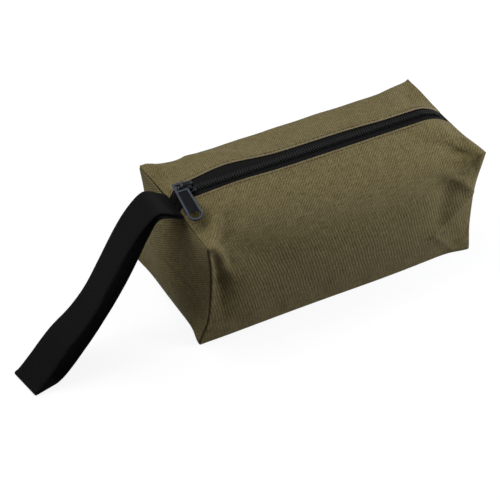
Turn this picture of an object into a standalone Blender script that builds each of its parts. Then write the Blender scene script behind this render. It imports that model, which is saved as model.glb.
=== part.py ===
"""Zipped cloth tool pouch with a webbing wrist strap.

Metres, +Z up.  The pouch lies along X and stands on its flat base, whose centre is the origin.
The strap and the closed end of the zip are at -X, and the side that faces the viewer is -Y.
"""

import math

import bmesh
import bpy
import numpy as np

for old in list(bpy.data.objects):
    bpy.data.objects.remove(old, do_unlink=True)

MM = 0.001

# Pouch
POUCH_LENGTH = 230 * MM
POUCH_WIDTH = 100 * MM
POUCH_HEIGHT = 90 * MM
CLOTH = 1.0 * MM
GAP = 0.3 * MM
DOME_RISE = 11.8 * MM
ROOF_POWER = 1.15
SIDE_BULGE = 2.5 * MM
CORNER_DROP = 1.0 * MM
EAR_REACH = 18 * MM
NEAR_ROLL = 28 * MM
FAR_ROLL = 8 * MM
ROLL_SPREAD = 55 * MM
SEAM_PULL = 3.5 * MM
END_CROWN = 2.0 * MM
BASE_CORNER_MIDDLE = 3.0 * MM
BASE_CORNER_END = 1.0 * MM
ZIP_DROP_LEFT = 4 * MM
ZIP_DROP_RIGHT = 25 * MM
CORNER_DROP_LENGTH = 48 * MM
PULL_REACH = 25 * MM

# Zip: the near fold of the cloth lies farther out than the far one, which clears the slider
NEAR_TAPE_SHOWN = 3.3 * MM
TAPE_TUCK = 5.5 * MM
TAPE_THICKNESS = 0.6 * MM
TAPE_PARTING = 0.4 * MM
COIL_HALF_WIDTH = 3.2 * MM
COIL_HEIGHT = 1.4 * MM
COIL_PITCH = 1.3 * MM
TOOTH_REACH = 0.7 * MM
COIL_END_INSET = 3.7 * MM
TEETH_PER_FACE = 4
TOOTH_START_SHARE = 0.25

# Slider
SLIDER_LENGTH = 12 * MM
SLIDER_FROM_SEAM = 9.5 * MM
SLIDER_PLATE = 1.2 * MM
SLIDER_FLANGE = 1.0 * MM
SLIDER_NOSE_FLARE = 0.4 * MM
LOWER_PLATE_SETBACK = 1.6 * MM
EDGE_ROUND = 0.3 * MM
SLIDER_NECK_SHARE = 0.085
SLIDER_NOTCH_SHARE = 0.2
ARCH_WIDTH = 3.0 * MM
ARCH_LENGTH = 10.6 * MM
ARCH_CLEAR_HEIGHT = 3.8 * MM
ARCH_THICKNESS = 1.2 * MM
ARCH_SINK = 0.5 * MM
ARCH_ROUNDNESS = 0.5

# Pull tab
TAB_LENGTH = 28 * MM
TAB_END_WIDTH = 11.4 * MM
TAB_EYE_WIDTH = 9.6 * MM
TAB_THICKNESS = 1.5 * MM
TAB_RIM = 1.3 * MM
TAB_RECESS = 0.45 * MM
TAB_TILT_DEGREES = 17
TAB_PIVOT_HEIGHT = 2.35 * MM
EYE_CLEARANCE = 0.75 * MM
EYE_BAR = 1.6 * MM
CORD_HOLE_LENGTH = 5.6 * MM
CORD_HOLE_CORNER = 0.5 * MM
CUT_OVERRUN = 1.0 * MM

# Wrist strap
STRAP_WIDTH = 25.4 * MM
STRAP_THICKNESS = 1.2 * MM
STRAP_REACH = 127 * MM
STRAP_FOLD_RADIUS = 1.3 * MM
STRAP_DRIFT = 27 * MM
STRAP_END_TURN_DEGREES = 9
STRAP_ROOT_RISE_DEGREES = 48
STRAP_FOLD_START_DEGREES = 50
STRAP_SIDE_STEP = 1.0 * MM

# Shares of the strap's reach and of its root's height that each layer passes through
UPPER_LAYER_SHARES = (
    (0.115, 1.13), (0.18, 1.155), (0.27, 1.075), (0.355, 0.94), (0.47, 0.70),
    (0.56, 0.515), (0.66, 0.385), (0.77, 0.285), (0.88, 0.14), (0.96, 0.045),
)
UNDER_LAYER_SHARES = (
    (0.845, 0.003), (0.735, 0.085), (0.605, 0.235), (0.48, 0.425),
    (0.375, 0.625), (0.295, 0.81), (0.228, 0.975), (0.15, 1.095),
)

# Mesh fineness
FLAP_STEPS = 7
SIDE_STEPS = 9
CORNER_STEPS = 3
BASE_STEPS = 6
END_PANEL_STEPS = 12
STRAP_STEPS_PER_SPAN = 3
STRAP_TURN_STEPS = 6
ARCH_STEPS = 10
TAB_END_STEPS = 14
# Where the body's sections stand, as shares of the left drop and of the rest up to the middle
DROP_STATION_SHARES = (0, 0.3, 0.62)
BODY_STATION_SHARES = (0, 0.032, 0.075, 0.13, 0.16, 0.19, 0.29, 0.46, 0.71)

# Sizes worked out from the ones above
SLIDER_HALF_WIDTH = COIL_HALF_WIDTH + GAP + SLIDER_FLANGE
LEVEL_HALF_WIDTH = SLIDER_HALF_WIDTH + SLIDER_NOSE_FLARE
FAR_FOLD = LEVEL_HALF_WIDTH + GAP
NEAR_FOLD = LEVEL_HALF_WIDTH + NEAR_TAPE_SHOWN
HALF_LENGTH = POUCH_LENGTH / 2
HALF_WIDTH = POUCH_WIDTH / 2
BODY_HALF_LENGTH = HALF_LENGTH - CLOTH - GAP
CROWN = POUCH_HEIGHT + DOME_RISE
TAPE_TOP_BELOW_CLOTH = CLOTH + GAP
COIL_BASE = CROWN - TAPE_TOP_BELOW_CLOTH + GAP
COIL_TOP = COIL_BASE + COIL_HEIGHT
SLIDER_X = -HALF_LENGTH + SLIDER_FROM_SEAM
PLATE_BASE = COIL_TOP + GAP
PLATE_TOP = PLATE_BASE + SLIDER_PLATE
STRAP_ROOT_RADIUS = (STRAP_THICKNESS + GAP) / 2
STRAP_ROOT_EDGE = STRAP_ROOT_RADIUS + STRAP_THICKNESS / 2
STRAP_ROOT_X = -BODY_HALF_LENGTH - GAP - STRAP_ROOT_EDGE
STRAP_ROOT_Z = POUCH_HEIGHT + GAP + STRAP_ROOT_EDGE


def finish_material(name, colour, roughness, metallic=0.0):
    material = bpy.data.materials.new(name)
    material.use_nodes = True
    shader = material.node_tree.nodes["Principled BSDF"]
    shader.inputs["Base Color"].default_value = (*colour, 1.0)
    shader.inputs["Roughness"].default_value = roughness
    shader.inputs["Metallic"].default_value = metallic
    return material


OLIVE_CLOTH = finish_material("olive oxford cloth", (0.145, 0.120, 0.060), 0.8)
BLACK_TAPE = finish_material("black woven zip tape", (0.012, 0.012, 0.014), 0.8)
BLACK_NYLON = finish_material("black nylon monofilament", (0.018, 0.018, 0.021), 0.45)
BLACK_ENAMEL = finish_material("black enamelled zinc", (0.02, 0.02, 0.022), 0.3, 0.6)
BLACK_WEBBING = finish_material("black webbing", (0.010, 0.010, 0.011), 0.85)


def add_object(name, mesh, material, smooth_degrees=35):
    mesh.materials.append(material)
    mesh.shade_smooth()
    mesh.set_sharp_from_angle(angle=math.radians(smooth_degrees))
    made = bpy.data.objects.new(name, mesh)
    bpy.context.scene.collection.objects.link(made)
    return made


def mesh_from(name, points, faces):
    """A mesh with its faces turned outwards."""
    mesh = bpy.data.meshes.new(name)
    mesh.from_pydata([tuple(p) for p in points], [], faces)
    work = bmesh.new()
    work.from_mesh(mesh)
    bmesh.ops.recalc_face_normals(work, faces=work.faces)
    work.to_mesh(mesh)
    work.free()
    return mesh


def shell_mesh(name, outer, inner):
    """A sheet with thickness: two point grids of one shape, joined round their rims.

    Each cell is split along its shorter diagonal, so sheets that lie on each other split alike.
    """
    rows, columns = outer.shape[:2]
    points = np.concatenate([outer.reshape(-1, 3), inner.reshape(-1, 3)])

    def index(side, row, column):
        return side * rows * columns + row * columns + column

    faces = []
    for side in (0, 1):
        for row in range(rows - 1):
            for column in range(columns - 1):
                a, b = index(side, row, column), index(side, row, column + 1)
                c, d = index(side, row + 1, column + 1), index(side, row + 1, column)
                if np.linalg.norm(points[a] - points[c]) < np.linalg.norm(points[b] - points[d]):
                    faces += [(a, b, c), (a, c, d)]
                else:
                    faces += [(a, b, d), (b, c, d)]
    for row in range(rows - 1):
        for column in (0, columns - 1):
            faces.append((index(0, row, column), index(0, row + 1, column),
                          index(1, row + 1, column), index(1, row, column)))
    for column in range(columns - 1):
        for row in (0, rows - 1):
            faces.append((index(0, row, column), index(0, row, column + 1),
                          index(1, row, column + 1), index(1, row, column)))
    return mesh_from(name, points, faces)


def prism_mesh(name, outline, low, high):
    """A flat outline in X and Y, carried from one height to another."""
    count = len(outline)
    points = [(x, y, z) for z in (low, high) for x, y in outline]
    faces = [tuple(range(count)), tuple(range(count, 2 * count))]
    for i in range(count):
        j = (i + 1) % count
        faces.append((i, j, count + j, count + i))
    return mesh_from(name, points, faces)


def box_outline(low_x, high_x, low_y, high_y):
    return [(low_x, low_y), (high_x, low_y), (high_x, high_y), (low_x, high_y)]


def combine(target, other, operation):
    """Cuts or joins another object into the target and removes the other one."""
    change = target.modifiers.new(operation, "BOOLEAN")
    change.operation = operation
    change.solver = "EXACT"
    change.object = other
    bpy.context.view_layer.update()
    graph = bpy.context.evaluated_depsgraph_get()
    result = bpy.data.meshes.new_from_object(target.evaluated_get(graph))
    target.modifiers.remove(change)
    target.data = result
    bpy.data.objects.remove(other, do_unlink=True)


# The stuffed shape of the pouch

def body_distance(x):
    """Distance from the nearer end of the body panel."""
    return np.maximum(BODY_HALF_LENGTH - np.abs(x), 0)


def ear_softness(x):
    """0 at the end seams, where the corners are pointed, rising to 1 in the middle."""
    return 1 - np.exp(-body_distance(x) / EAR_REACH)


def top_height(x, y):
    """Height of the cloth's outer face over the top, falling to the seams at both ends.

    It slopes like a low roof, so that the pull tab clears it all along the zip.
    """
    across = np.abs(y) / HALF_WIDTH
    level_share = LEVEL_HALF_WIDTH / HALF_WIDTH
    outward = np.clip((across - level_share) / (1 - level_share), 0, 1)
    at_zip = np.where(np.asarray(x) < 0, ZIP_DROP_LEFT, ZIP_DROP_RIGHT)
    drop_length = at_zip + (np.maximum(CORNER_DROP_LENGTH, at_zip) - at_zip) * outward
    risen = 1 - np.clip(1 - body_distance(x) / drop_length, 0, 1) ** 2
    roof = DOME_RISE * risen * (1 - outward ** ROOF_POWER)
    return POUCH_HEIGHT + roof - CORNER_DROP * ear_softness(x) * across ** 4


def underside_height(x, y):
    """Height of the cloth's inner face over the top, a cloth's thickness in along its slope."""
    y = np.abs(y)
    slope = (top_height(x, y + GAP) - top_height(x, y)) / GAP
    return top_height(x, y) - CLOTH * np.sqrt(1 + slope ** 2)


def tape_places(fold):
    """Distances from the zip's middle at which the hidden part of a tape and its cloth are drawn."""
    return [fold, fold + TAPE_TUCK / 2, fold + TAPE_TUCK]


def seam_pull(across, up):
    """How far the end seam is drawn inwards: most in the middle of the upright and base edges.

    across and up run from -1 to 1 over the end panel, and the top edge stays straight.
    """
    upright = across ** 2 * (1 - up ** 2)
    base = (1 - across ** 2) * ((1 - up) / 2) ** 2
    return SEAM_PULL * (upright + base)


def flap_points(x):
    """The near and the far half of the top, from the fold at the zip to the corner."""
    eased = np.sin(np.linspace(0, math.pi / 2, FLAP_STEPS + 1))[1:]
    corner_in = CORNER_DROP * ear_softness(x)
    halves = []
    for fold in (NEAR_FOLD, FAR_FOLD):
        tucked = tape_places(fold)
        flat = np.concatenate([tucked, tucked[-1] + (HALF_WIDTH - tucked[-1]) * eased])
        across = flat / HALF_WIDTH
        height = top_height(x, flat)
        halves.append(np.stack([flat - corner_in * across ** 4, height], axis=1))
    return halves


def side_points(x):
    """The side from under the top corner to the start of the base corner."""
    soft = ear_softness(x)
    corner = BASE_CORNER_END + (BASE_CORNER_MIDDLE - BASE_CORNER_END) * soft
    lowest = 2 * corner / POUCH_HEIGHT - 1
    up = np.cos(np.linspace(0, math.pi, SIDE_STEPS + 1))
    up = lowest + (up + 1) / 2 * (1 - lowest)
    upper = np.clip(up, 0, 1) ** 4
    out = HALF_WIDTH + soft * (SIDE_BULGE * (1 - up ** 2) - CORNER_DROP * upper)
    height = POUCH_HEIGHT / 2 * (1 + up) - CORNER_DROP * soft * upper
    return np.stack([out, height], axis=1)[1:], corner


def roll_corner(half, corner, reach):
    """Half an outline whose corner is a parabola, from a reach before the corner to a reach past it."""
    if reach == 0:
        return half
    step = np.linalg.norm(np.diff(half, axis=0), axis=1)
    run = np.concatenate([[0], np.cumsum(step)]) - step[:corner].sum()
    start, end = ([np.interp(place, run, half[:, k]) for k in (0, 1)] for place in (-reach, reach))
    share = (run[:, None] + reach) / (2 * reach)
    parabola = ((1 - share) ** 2 * np.array(start) + 2 * share * (1 - share) * half[corner]
                + share ** 2 * np.array(end))
    return np.where(np.abs(run[:, None]) < reach, parabola, half)


def section(x):
    """The body's outer outline at x, from the near fold round the base to the far fold.

    The cloth rolls over the top edges in the middle and is creased at the ends.
    """
    side, corner = side_points(x)
    turn = np.linspace(0, math.pi / 2, CORNER_STEPS + 1)[1:]
    centre_out = side[-1, 0] - corner
    arc = np.stack([centre_out + corner * np.cos(turn), corner - corner * np.sin(turn)], axis=1)
    base_y = np.linspace(-centre_out, centre_out, BASE_STEPS + 1)[1:-1]
    base = np.stack([base_y, np.zeros_like(base_y)], axis=1)
    rolled = 1 - math.exp(-(body_distance(x) / ROLL_SPREAD) ** 2)
    near, far = (roll_corner(np.concatenate([flap, side, arc]), len(flap) - 1, reach * rolled)
                 for flap, reach in zip(flap_points(x), (NEAR_ROLL, FAR_ROLL)))
    near[:, 0] *= -1
    return np.concatenate([near, base, far[::-1]])


def inset(outline, distance):
    """The outline moved inwards along its own normals, with mitred corners."""
    step = np.diff(outline, axis=0)
    step /= np.linalg.norm(step, axis=1, keepdims=True)
    before = np.concatenate([step[:1], step])
    after = np.concatenate([step, step[-1:]])
    along = before + after
    along /= np.linalg.norm(along, axis=1, keepdims=True)
    mitre = np.clip((before * along).sum(axis=1), 0.5, 1)
    inward = np.stack([-along[:, 1], along[:, 0]], axis=1)
    return outline + inward * (distance / mitre)[:, None]


def inner_section(x, outline):
    """The inner face: straight below the outer one over the tapes, and inset elsewhere."""
    inner = inset(outline, CLOTH)
    tucked = len(tape_places(0))
    for part in (slice(0, tucked), slice(-tucked, None)):
        inner[part, 0] = outline[part, 0]
        inner[part, 1] = underside_height(x, outline[part, 0])
    return inner


def body_stations():
    drop = ZIP_DROP_LEFT * np.array(DROP_STATION_SHARES)
    level = ZIP_DROP_LEFT + (BODY_HALF_LENGTH - ZIP_DROP_LEFT) * np.array(BODY_STATION_SHARES)
    left = -BODY_HALF_LENGTH + np.concatenate([drop, level])
    return np.concatenate([left, [0], -left[::-1]])


def body_surface(inside):
    rows = []
    for x in body_stations():
        outline = section(x)
        across = np.clip(outline[:, 0] / HALF_WIDTH, -1, 1)
        up = np.clip(2 * outline[:, 1] / POUCH_HEIGHT - 1, -1, 1)
        pull = seam_pull(across, up) * math.exp(-body_distance(x) / PULL_REACH)
        pull = pull * (np.abs(outline[:, 1]) < POUCH_HEIGHT)
        if inside:
            outline = inner_section(x, outline)
        along = x - math.copysign(1, x) * pull
        rows.append(np.stack([along, outline[:, 0], outline[:, 1]], axis=1))
    return np.array(rows)


def make_body_panel():
    """One piece of cloth wrapped from the near edge of the zip round the base to the far edge."""
    mesh = shell_mesh("body_panel", body_surface(False), body_surface(True))
    return add_object("body_panel", mesh, OLIVE_CLOTH)


def make_end_panel(name, end):
    """A cloth rectangle that closes one end: end is -1 on the left and 1 on the right."""
    steps = np.linspace(-1, 1, END_PANEL_STEPS + 1)
    across, up = np.meshgrid(steps, steps, indexing="ij")
    crown = END_CROWN * (1 - across ** 2) * (1 - up ** 2)
    out = HALF_LENGTH - seam_pull(across, up) + crown
    y = across * HALF_WIDTH
    z = (1 + up) * POUCH_HEIGHT / 2
    outer = np.stack([end * out, y, z], axis=2)
    inner = np.stack([end * (out - CLOTH), y, z], axis=2)
    return add_object(name, shell_mesh(name, outer, inner), OLIVE_CLOTH)


def make_zip_tape(name, side, fold):
    """A woven tape from the middle of the zip to its stitched edge under the cloth's fold."""
    y = np.array([TAPE_PARTING, COIL_HALF_WIDTH, LEVEL_HALF_WIDTH, *tape_places(fold)])
    along, across = np.meshgrid(body_stations(), y, indexing="ij")
    top = underside_height(along, across) - GAP
    upper = np.stack([along, side * across, top], axis=2)
    lower = np.stack([along, side * across, top - TAPE_THICKNESS], axis=2)
    return add_object(name, shell_mesh(name, upper, lower), BLACK_TAPE)


def make_zip_coil(name, side):
    """Half of the coil: a spine on the tape, with a tooth at every turn that reaches over the middle.

    The two halves are offset by half a pitch, so each tooth lies between two of the other half.
    """
    start = -BODY_HALF_LENGTH + COIL_END_INSET
    usable = BODY_HALF_LENGTH - start - COIL_PITCH
    groups = int(usable / (COIL_PITCH * TEETH_PER_FACE))
    tooth = COIL_PITCH / 2 - GAP
    first = start + (0 if side < 0 else COIL_PITCH / 2)
    root = TOOTH_REACH + GAP
    outlines = []
    for group in range(groups):
        low = first + group * TEETH_PER_FACE * COIL_PITCH
        inner_edge = []
        for turn in range(TEETH_PER_FACE):
            base = low + (turn + TOOTH_START_SHARE) * COIL_PITCH
            inner_edge += [(base, root), (base, -TOOTH_REACH),
                           (base + tooth, -TOOTH_REACH), (base + tooth, root)]
        high = low + TEETH_PER_FACE * COIL_PITCH
        outlines.append([(low, COIL_HALF_WIDTH), (low, root), *inner_edge,
                         (high, root), (high, COIL_HALF_WIDTH)])
    return add_object(name, comb_mesh(name, outlines, side), BLACK_NYLON)


def comb_mesh(name, outlines, side):
    """Outlines that share their end edges, as one solid that follows the zip's line."""
    places = {}
    points = []

    def point(x, y, level):
        key = (round(x, 7), round(y, 7), level)
        if key not in places:
            places[key] = len(points)
            line = float(top_height(x, 0)) - CROWN
            points.append((x, side * y, line + (COIL_BASE if level == 0 else COIL_TOP)))
        return places[key]

    faces = []
    for number, outline in enumerate(outlines):
        for level in (0, 1):
            faces.append(tuple(point(x, y, level) for x, y in outline))
        for i in range(len(outline)):
            a, b = outline[i], outline[(i + 1) % len(outline)]
            shared_start = i == 0 and number > 0
            shared_end = i == len(outline) - 2 and number < len(outlines) - 1
            if not (shared_start or shared_end):
                faces.append((point(*a, 0), point(*b, 0), point(*b, 1), point(*a, 1)))
    return mesh_from(name, points, faces)


def slider_outline(low):
    """The slider's plan: its nose, towards -X, is a little wider than its tail."""
    half = SLIDER_HALF_WIDTH
    nose = LEVEL_HALF_WIDTH
    high = SLIDER_LENGTH / 2
    neck = SLIDER_LENGTH * SLIDER_NECK_SHARE
    notch = SLIDER_LENGTH * SLIDER_NOTCH_SHARE
    return [(high, -half + EDGE_ROUND), (high, half - EDGE_ROUND), (high - EDGE_ROUND, half),
            (neck, half), (low + notch, nose), (low + EDGE_ROUND, nose - EDGE_ROUND),
            (low, half - notch), (low + EDGE_ROUND, 0), (low, notch - half),
            (low + EDGE_ROUND, EDGE_ROUND - nose), (low + notch, -nose), (neck, -half),
            (high - EDGE_ROUND, -half)]


def make_slider_body():
    """The slider's top plate, with the flanges that hold the coil and the bridge for the tab."""
    half = SLIDER_HALF_WIDTH
    low = -SLIDER_LENGTH / 2
    body = add_object("slider_body", prism_mesh(
        "slider_body", slider_outline(low), PLATE_BASE, PLATE_TOP), BLACK_ENAMEL)
    flange_base = CROWN - TAPE_TOP_BELOW_CLOTH + GAP
    for side in (-1, 1):
        inner, outer = sorted((side * (half - SLIDER_FLANGE), side * half))
        strip = box_outline(low + SLIDER_FLANGE, -low - SLIDER_FLANGE, inner, outer)
        flange = add_object("flange", prism_mesh(
            "flange", strip, flange_base, PLATE_BASE + SLIDER_PLATE / 2), BLACK_ENAMEL)
        combine(body, flange, "UNION")
    combine(body, make_arch(), "UNION")
    body.location = (SLIDER_X, 0, 0)
    return body


def make_slider_lower_plate():
    """The half of the slider under the tapes.

    The wedge that joins it to the top plate parts the coils on the real slider.  It is left out
    here, because these coils are rigid and stay closed as the slider travels.
    """
    top = CROWN - TAPE_TOP_BELOW_CLOTH - TAPE_THICKNESS - GAP
    outline = slider_outline(LOWER_PLATE_SETBACK - SLIDER_LENGTH / 2)
    plate = add_object("slider_lower_plate", prism_mesh(
        "slider_lower_plate", outline, top - SLIDER_PLATE, top), BLACK_ENAMEL)
    plate.location = (SLIDER_X, 0, 0)
    return plate


def arch_points(half_length, height, base):
    """Half of a rounded arch: up one leg, over the top and down the other, as X and Z."""
    turn = np.linspace(0, math.pi, ARCH_STEPS + 1)
    x = -half_length * np.sign(np.cos(turn)) * np.abs(np.cos(turn)) ** ARCH_ROUNDNESS
    z = height * np.sin(turn) ** ARCH_ROUNDNESS
    return [(-half_length, base), *[(a, PLATE_TOP + b) for a, b in zip(x, z)], (half_length, base)]


def make_arch():
    """The bridge over the slider, which the pull tab's eye hangs on."""
    base = PLATE_TOP - ARCH_SINK
    outer = arch_points(ARCH_LENGTH / 2, ARCH_CLEAR_HEIGHT + ARCH_THICKNESS, base)
    inner = arch_points(ARCH_LENGTH / 2 - ARCH_THICKNESS, ARCH_CLEAR_HEIGHT, base)
    half = ARCH_WIDTH / 2
    outer_grid = np.array([[(x, y, z) for y in (-half, half)] for x, z in outer])
    inner_grid = np.array([[(x, y, z) for y in (-half, half)] for x, z in inner])
    return add_object("arch", shell_mesh("arch", outer_grid, inner_grid), BLACK_ENAMEL)


def tab_outline(inward):
    """The tab's outline in its own plane, drawn in by a distance: the eye's bar is at +Y."""
    eye = TAB_EYE_WIDTH / 2 - inward
    foot = TAB_END_WIDTH / 2 - inward
    top = tab_top() - inward
    chamfer = max(EYE_BAR / 2 - inward / 2, EDGE_ROUND)
    centre = TAB_END_WIDTH / 2 - TAB_LENGTH
    turn = np.linspace(0, math.pi, TAB_END_STEPS + 1)
    end = [(-foot * math.cos(a), centre - foot * math.sin(a)) for a in turn]
    return [(eye, top - chamfer), (eye - chamfer, top), (chamfer - eye, top),
            (-eye, top - chamfer), *end]


def tab_top():
    return ARCH_WIDTH / 2 + EYE_CLEARANCE + EYE_BAR


def make_pull_tab():
    """The pull tab: a flat tongue with an eye round the bridge's leg and a hole for a cord."""
    half = TAB_THICKNESS / 2
    tab = add_object("pull_tab", prism_mesh(
        "pull_tab", tab_outline(0), -half, half), BLACK_ENAMEL)
    eye_half = TAB_EYE_WIDTH / 2 - TAB_RIM - EDGE_ROUND
    eye = box_outline(-eye_half, eye_half,
                      -ARCH_WIDTH / 2 - EYE_CLEARANCE, ARCH_WIDTH / 2 + EYE_CLEARANCE)
    hole_half = TAB_END_WIDTH / 2 - TAB_RIM
    hole_top = TAB_RIM + CORD_HOLE_LENGTH - TAB_LENGTH
    centre = TAB_END_WIDTH / 2 - TAB_LENGTH
    turn = np.linspace(0, math.pi, TAB_END_STEPS + 1)
    hole = [(CORD_HOLE_CORNER - hole_half, hole_top),
            *[(-hole_half * math.cos(a), centre - hole_half * math.sin(a)) for a in turn],
            (hole_half - CORD_HOLE_CORNER, hole_top)]
    for name, cut in (("eye", eye), ("cord_hole", hole)):
        cutter = add_object(name, prism_mesh(
            name, cut, -half - CUT_OVERRUN, half + CUT_OVERRUN), BLACK_ENAMEL)
        combine(tab, cutter, "DIFFERENCE")
    web_top = -ARCH_WIDTH / 2 - EYE_CLEARANCE - TAB_RIM
    web_end = hole_top - CORD_HOLE_CORNER
    web_half = TAB_EYE_WIDTH / 2 - TAB_RIM
    web_foot = hole_half - CORD_HOLE_CORNER
    web = [(-web_foot, web_end), (web_foot, web_end), (web_half, web_top), (-web_half, web_top)]
    for side in (-1, 1):
        low, high = sorted((side * (half - TAB_RECESS), side * (half + CUT_OVERRUN)))
        cutter = add_object("web", prism_mesh("web", web, low, high), BLACK_ENAMEL)
        combine(tab, cutter, "DIFFERENCE")
    pivot = bpy.data.objects.new("pull_tab_pivot", None)
    bpy.context.scene.collection.objects.link(pivot)
    leg_x = SLIDER_X - ARCH_LENGTH / 2 + ARCH_THICKNESS / 2
    pivot.location = (leg_x, 0, PLATE_TOP + TAB_PIVOT_HEIGHT)
    pivot.rotation_euler = (math.radians(TAB_TILT_DEGREES), 0, 0)
    tab.parent = pivot
    return tab


def smooth_curve(points, steps):
    """A Catmull-Rom curve through the points, with its ends kept."""
    padded = np.concatenate([[2 * points[0] - points[1]], points, [2 * points[-1] - points[-2]]])
    share = np.linspace(0, 1, steps, endpoint=False)[:, None]
    spans = []
    for a, b, c, d in zip(padded, padded[1:], padded[2:], padded[3:]):
        spans.append(0.5 * (2 * b + (c - a) * share + (2 * a - 5 * b + 4 * c - d) * share ** 2
                            + (3 * b - a - 3 * c + d) * share ** 3))
    return np.concatenate([*spans, points[-1:]])


def turn_points(centre, radius, start, end):
    angle = np.radians(np.linspace(start, end, STRAP_TURN_STEPS + 1))
    return np.stack([centre[0] + radius * np.cos(angle), centre[1] + radius * np.sin(angle)], axis=1)


def strap_line():
    """The folded webbing's closed middle line: distance out from the seam, and height."""
    floor = STRAP_THICKNESS / 2
    scale = np.array([STRAP_REACH, STRAP_ROOT_Z - floor])
    lift = np.array([0, floor])
    rise = STRAP_ROOT_RISE_DEGREES
    root = turn_points((0, STRAP_ROOT_Z), STRAP_ROOT_RADIUS, rise + 270, rise + 90)
    fold_centre = (STRAP_REACH - STRAP_FOLD_RADIUS - floor, floor + STRAP_FOLD_RADIUS)
    fold = turn_points(fold_centre, STRAP_FOLD_RADIUS, STRAP_FOLD_START_DEGREES, -90)
    upper = np.array(UPPER_LAYER_SHARES) * scale + lift
    under = np.array(UNDER_LAYER_SHARES) * scale + lift
    upper = smooth_curve(np.concatenate([root[-1:], upper, fold[:1]]), STRAP_STEPS_PER_SPAN)
    under = smooth_curve(np.concatenate([fold[-1:], under, root[:1]]), STRAP_STEPS_PER_SPAN)
    line = np.concatenate([upper, fold[1:], under[1:], root[1:-1]])
    line[:, 1] = np.maximum(line[:, 1], floor)
    return line


def make_wrist_strap():
    """Webbing folded in two, whose ends are sewn into the left end's top seam."""
    line = strap_line()
    ahead = np.roll(line, -1, axis=0) - line
    ahead /= np.linalg.norm(ahead, axis=1, keepdims=True)
    along = ahead + np.roll(ahead, 1, axis=0)
    along /= np.linalg.norm(along, axis=1, keepdims=True)
    outward = np.stack([-along[:, 1], along[:, 0]], axis=1) * STRAP_THICKNESS / 2
    points = []
    for offset in (outward, -outward):
        out, height = (line + offset).T
        share = np.clip(out / STRAP_REACH, 0, 1)
        turn = np.radians(STRAP_END_TURN_DEGREES) * share
        for side in (-1, 1):
            half = side * STRAP_WIDTH / 2
            points.append(np.stack([
                STRAP_ROOT_X - out - half * np.sin(turn),
                -STRAP_SIDE_STEP - STRAP_DRIFT * share + half * np.cos(turn),
                height], axis=1))
    count = len(line)
    faces = []
    for i in range(count):
        j = (i + 1) % count
        for a, b in ((0, 1), (1, 3), (3, 2), (2, 0)):
            faces.append((a * count + i, a * count + j, b * count + j, b * count + i))
    mesh = mesh_from("wrist_strap", np.concatenate(points), faces)
    return add_object("wrist_strap", mesh, BLACK_WEBBING)


make_body_panel()
make_end_panel("end_panel_left", -1)
make_end_panel("end_panel_right", 1)
make_zip_tape("zip_tape_near", -1, NEAR_FOLD)
make_zip_tape("zip_tape_far", 1, FAR_FOLD)
make_zip_coil("zip_coil_near", -1)
make_zip_coil("zip_coil_far", 1)
make_slider_body()
make_slider_lower_plate()
make_pull_tab()
make_wrist_strap()
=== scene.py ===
"""Zipped cloth tool pouch with a webbing wrist strap: its looks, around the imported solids.

Metres, +Z up.  The pouch lies along X, with the strap at -X and the viewer's side at -Y.
"""

import math
from functools import partial

import bmesh
import bpy
import numpy as np
from mathutils import Matrix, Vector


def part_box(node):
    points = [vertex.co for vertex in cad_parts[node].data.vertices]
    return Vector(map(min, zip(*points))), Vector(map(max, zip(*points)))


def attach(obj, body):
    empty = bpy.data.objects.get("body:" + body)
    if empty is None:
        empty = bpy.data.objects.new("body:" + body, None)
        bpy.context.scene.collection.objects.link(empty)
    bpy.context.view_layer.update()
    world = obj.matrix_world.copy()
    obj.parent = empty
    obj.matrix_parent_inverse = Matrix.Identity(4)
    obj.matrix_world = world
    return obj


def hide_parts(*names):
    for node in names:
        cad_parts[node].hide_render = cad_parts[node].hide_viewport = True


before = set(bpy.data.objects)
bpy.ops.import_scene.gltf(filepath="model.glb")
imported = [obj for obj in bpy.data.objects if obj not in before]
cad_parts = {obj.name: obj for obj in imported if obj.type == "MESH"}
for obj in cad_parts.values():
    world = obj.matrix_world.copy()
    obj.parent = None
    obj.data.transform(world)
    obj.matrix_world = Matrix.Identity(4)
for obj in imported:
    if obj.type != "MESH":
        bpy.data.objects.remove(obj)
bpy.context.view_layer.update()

MM = 0.001

# Camera: it stands where the photograph was taken from, in front of the pouch's left end and above
# it, and turned a little about its own line of sight.
IMAGE_SIZE = 500
CAMERA_AZIMUTH = math.radians(-35.06)
CAMERA_ELEVATION = math.radians(41.223)
CAMERA_ROLL = math.radians(5.548)
CAMERA_DISTANCE = 1.2905
CAMERA_TARGET = np.array([0, 0, 0.0375])
FOCAL_PIXELS = 1747.3
PICTURE_CENTRE = (309.4, 214.8)
SENSOR_WIDTH = 36


def add_object(name, data):
    made = bpy.data.objects.new(name, data)
    bpy.context.scene.collection.objects.link(made)
    return made


def stand(thing, right, up, back, place):
    """Stands an object at a place, with its own three axes along right, up and back."""
    matrix = np.eye(4)
    matrix[:3, :4] = np.stack([right, up, back, place], axis=1)
    thing.matrix_world = Matrix(matrix.tolist())


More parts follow.
